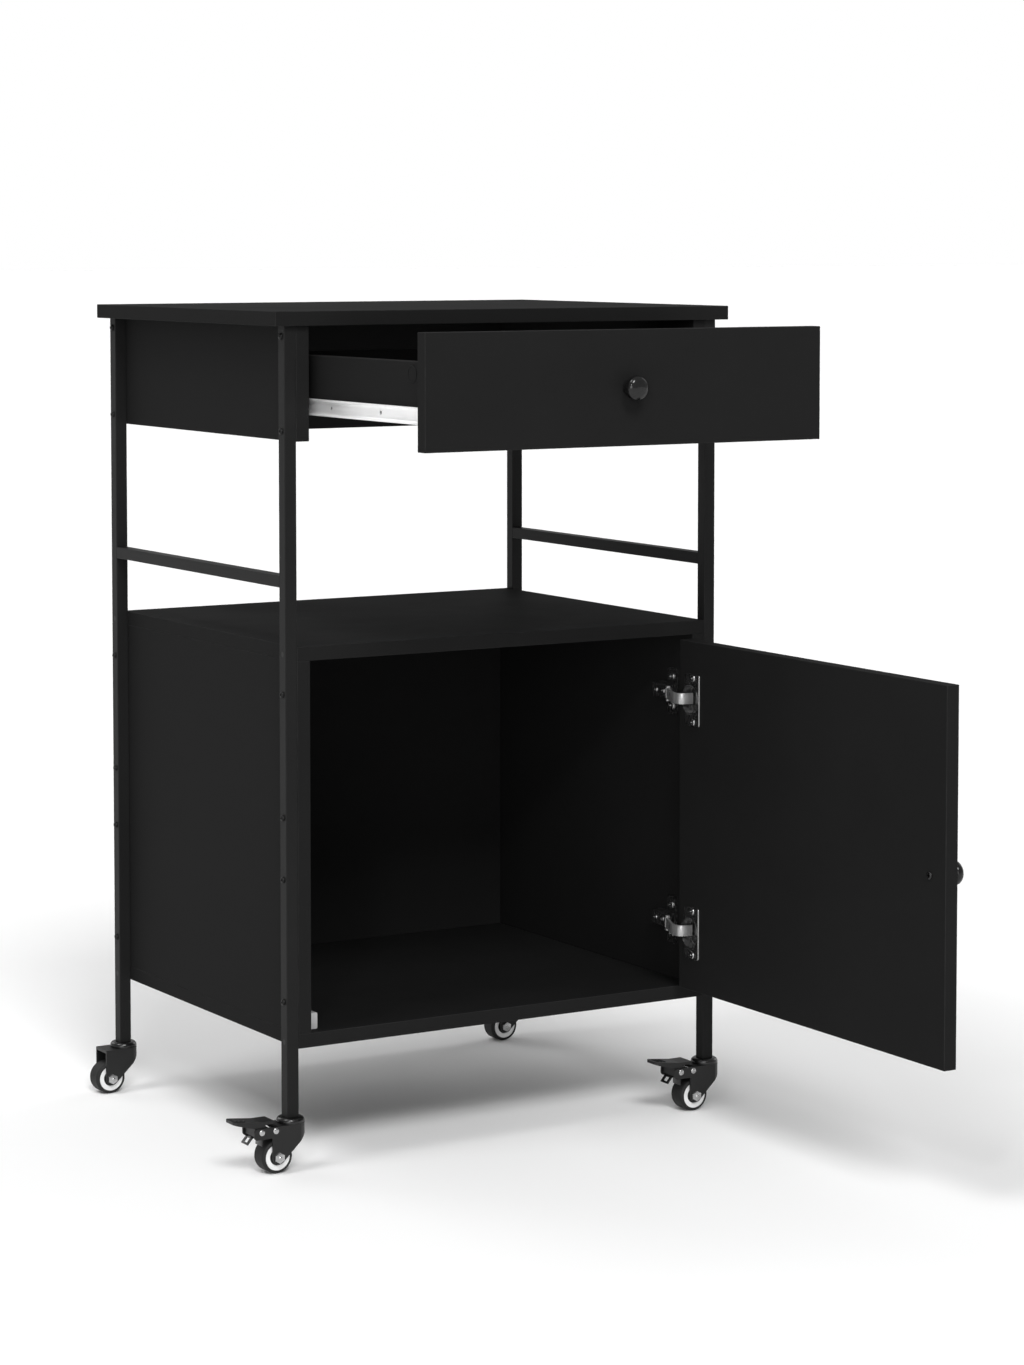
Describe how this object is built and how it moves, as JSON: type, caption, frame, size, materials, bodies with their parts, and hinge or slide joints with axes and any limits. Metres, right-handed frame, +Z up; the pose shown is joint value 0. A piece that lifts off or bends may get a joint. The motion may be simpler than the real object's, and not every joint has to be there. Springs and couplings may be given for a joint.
{
  "type": "kitchen trolley",
  "caption": "Black kitchen trolley on castors with a worktop, a pull-out drawer, an open shelf between square steel posts and a cabinet with a hinged door.",
  "frame": {"origin": "on the floor, under the middle of the frame's four posts", "axes": "+X to the right as seen from the front, +Y to the rear, +Z up; drawer and door are at the front (-Y)"},
  "size_m": [0.6052, 0.9116, 0.885],
  "materials": {
    "black_board": "matte black foil",
    "black_tube": "satin powder coat",
    "bright_steel": "bright zinc",
    "black_steel": "black oxide",
    "gloss_black": "gloss",
    "black_plastic": "moulded",
    "hub_plastic": "moulded",
    "black_rubber": "matte",
    "grey_plastic": "moulded"
  },
  "bodies": {
    "carcass": {"tabletop": "black_board", "upper_panel_left": "black_board", "upper_panel_right": "black_board", "upper_panel_rear": "black_board", "shelf": "black_board", "lower_panel_left": "black_board", "lower_panel_right": "black_board", "cabinet_back": "black_board", "bottom_board": "black_board", "side_rail_left": "black_tube", "side_rail_right": "black_tube", "post_front_left": "black_tube", "post_front_right": "black_tube", "post_rear_left": "black_tube", "post_rear_right": "black_tube", "slide_rail_left": "bright_steel", "slide_rail_right": "bright_steel", "hinge_arms": "bright_steel", "hinge_plates": "bright_steel", "hinge_plate_screws": "bright_steel", "panel_screws": "black_steel", "shelf_screws": "black_steel", "castor_stems": "black_steel", "door_stop": "grey_plastic"},
    "drawer": {"drawer_front": "black_board", "drawer_side_left": "black_board", "drawer_side_right": "black_board", "drawer_back": "black_board", "drawer_bottom": "black_board", "slide_runner_left": "bright_steel", "slide_runner_right": "bright_steel", "drawer_knob": "gloss_black", "drawer_knob_screw": "bright_steel"},
    "slide_cages": {"slide_ball_cages": "bright_steel"},
    "door": {"door_panel": "black_board", "door_knob": "gloss_black", "door_knob_screw": "bright_steel", "hinge_cups": "bright_steel", "hinge_cup_screws": "bright_steel"},
    "hinge_links": {"hinge_links": "bright_steel"},
    "castor_front_left": {"castor_fork_front_left": "black_plastic", "castor_pins_front_left": "bright_steel"},
    "wheel_front_left": {"castor_hub_front_left": "hub_plastic", "castor_tyre_front_left": "black_rubber"},
    "castor_front_right": {"castor_fork_front_right": "black_plastic", "castor_pins_front_right": "bright_steel"},
    "wheel_front_right": {"castor_hub_front_right": "hub_plastic", "castor_tyre_front_right": "black_rubber"},
    "castor_rear_left": {"castor_fork_rear_left": "black_plastic", "castor_pins_rear_left": "bright_steel"},
    "wheel_rear_left": {"castor_hub_rear_left": "hub_plastic", "castor_tyre_rear_left": "black_rubber"},
    "castor_rear_right": {"castor_fork_rear_right": "black_plastic", "castor_pins_rear_right": "bright_steel"},
    "wheel_rear_right": {"castor_hub_rear_right": "hub_plastic", "castor_tyre_rear_right": "black_rubber"},
    "brake_front_left": {"brake_pedal_front_left": "black_plastic", "brake_shoe_front_left": "bright_steel"},
    "brake_front_right": {"brake_pedal_front_right": "black_plastic", "brake_shoe_front_right": "bright_steel"}
  },
  "joints": [
    {"name": "drawer_slide", "type": "slide", "parent": "carcass", "child": "drawer", "axis": [0, -1, 0], "range_m": [-0.235, 0.025]},
    {"name": "cage_slide", "type": "slide", "parent": "carcass", "child": "slide_cages", "axis": [0, -1, 0], "range_m": [-0.1175, 0.0125]},
    {"name": "door_swing", "type": "hinge", "parent": "carcass", "child": "door", "pos_m": [0.2365, -0.2215, 0.334], "axis": [0, 0, 1], "range_deg": [-90, 0]},
    {"name": "link_swing", "type": "hinge", "parent": "carcass", "child": "hinge_links", "pos_m": [0.218, -0.188, 0.334], "axis": [0, 0, 1], "range_deg": [-90, 0]},
    {"name": "castor_swivel_front_left", "type": "hinge", "parent": "carcass", "child": "castor_front_left", "pos_m": [-0.25775, -0.20225, 0.048], "axis": [0, 0, 1], "continuous": true},
    {"name": "wheel_roll_front_left", "type": "hinge", "parent": "castor_front_left", "child": "wheel_front_left", "pos_m": [-0.27775, -0.20225, 0.0175], "axis": [0, 1, 0], "continuous": true},
    {"name": "castor_swivel_front_right", "type": "hinge", "parent": "carcass", "child": "castor_front_right", "pos_m": [0.25775, -0.20225, 0.048], "axis": [0, 0, 1], "continuous": true},
    {"name": "wheel_roll_front_right", "type": "hinge", "parent": "castor_front_right", "child": "wheel_front_right", "pos_m": [0.23775, -0.20225, 0.0175], "axis": [0, 1, 0], "continuous": true},
    {"name": "castor_swivel_rear_left", "type": "hinge", "parent": "carcass", "child": "castor_rear_left", "pos_m": [-0.25775, 0.20225, 0.048], "axis": [0, 0, 1], "continuous": true},
    {"name": "wheel_roll_rear_left", "type": "hinge", "parent": "castor_rear_left", "child": "wheel_rear_left", "pos_m": [-0.27775, 0.20225, 0.0175], "axis": [0, 1, 0], "continuous": true},
    {"name": "castor_swivel_rear_right", "type": "hinge", "parent": "carcass", "child": "castor_rear_right", "pos_m": [0.25775, 0.20225, 0.048], "axis": [0, 0, 1], "continuous": true},
    {"name": "wheel_roll_rear_right", "type": "hinge", "parent": "castor_rear_right", "child": "wheel_rear_right", "pos_m": [0.23775, 0.20225, 0.0175], "axis": [0, 1, 0], "continuous": true},
    {"name": "brake_press_front_left", "type": "hinge", "parent": "castor_front_left", "child": "brake_front_left", "pos_m": [-0.29725, -0.20225, 0.0457], "axis": [0, 1, 0], "range_deg": [-10, 0]},
    {"name": "brake_press_front_right", "type": "hinge", "parent": "castor_front_right", "child": "brake_front_right", "pos_m": [0.21825, -0.20225, 0.0457], "axis": [0, 1, 0], "range_deg": [-10, 0]}
  ],
  "couplings": [
    {"joint": "cage_slide", "follows": "drawer_slide", "ratio": 0.5},
    {"joint": "link_swing", "follows": "door_swing", "ratio": 1}
  ]
}
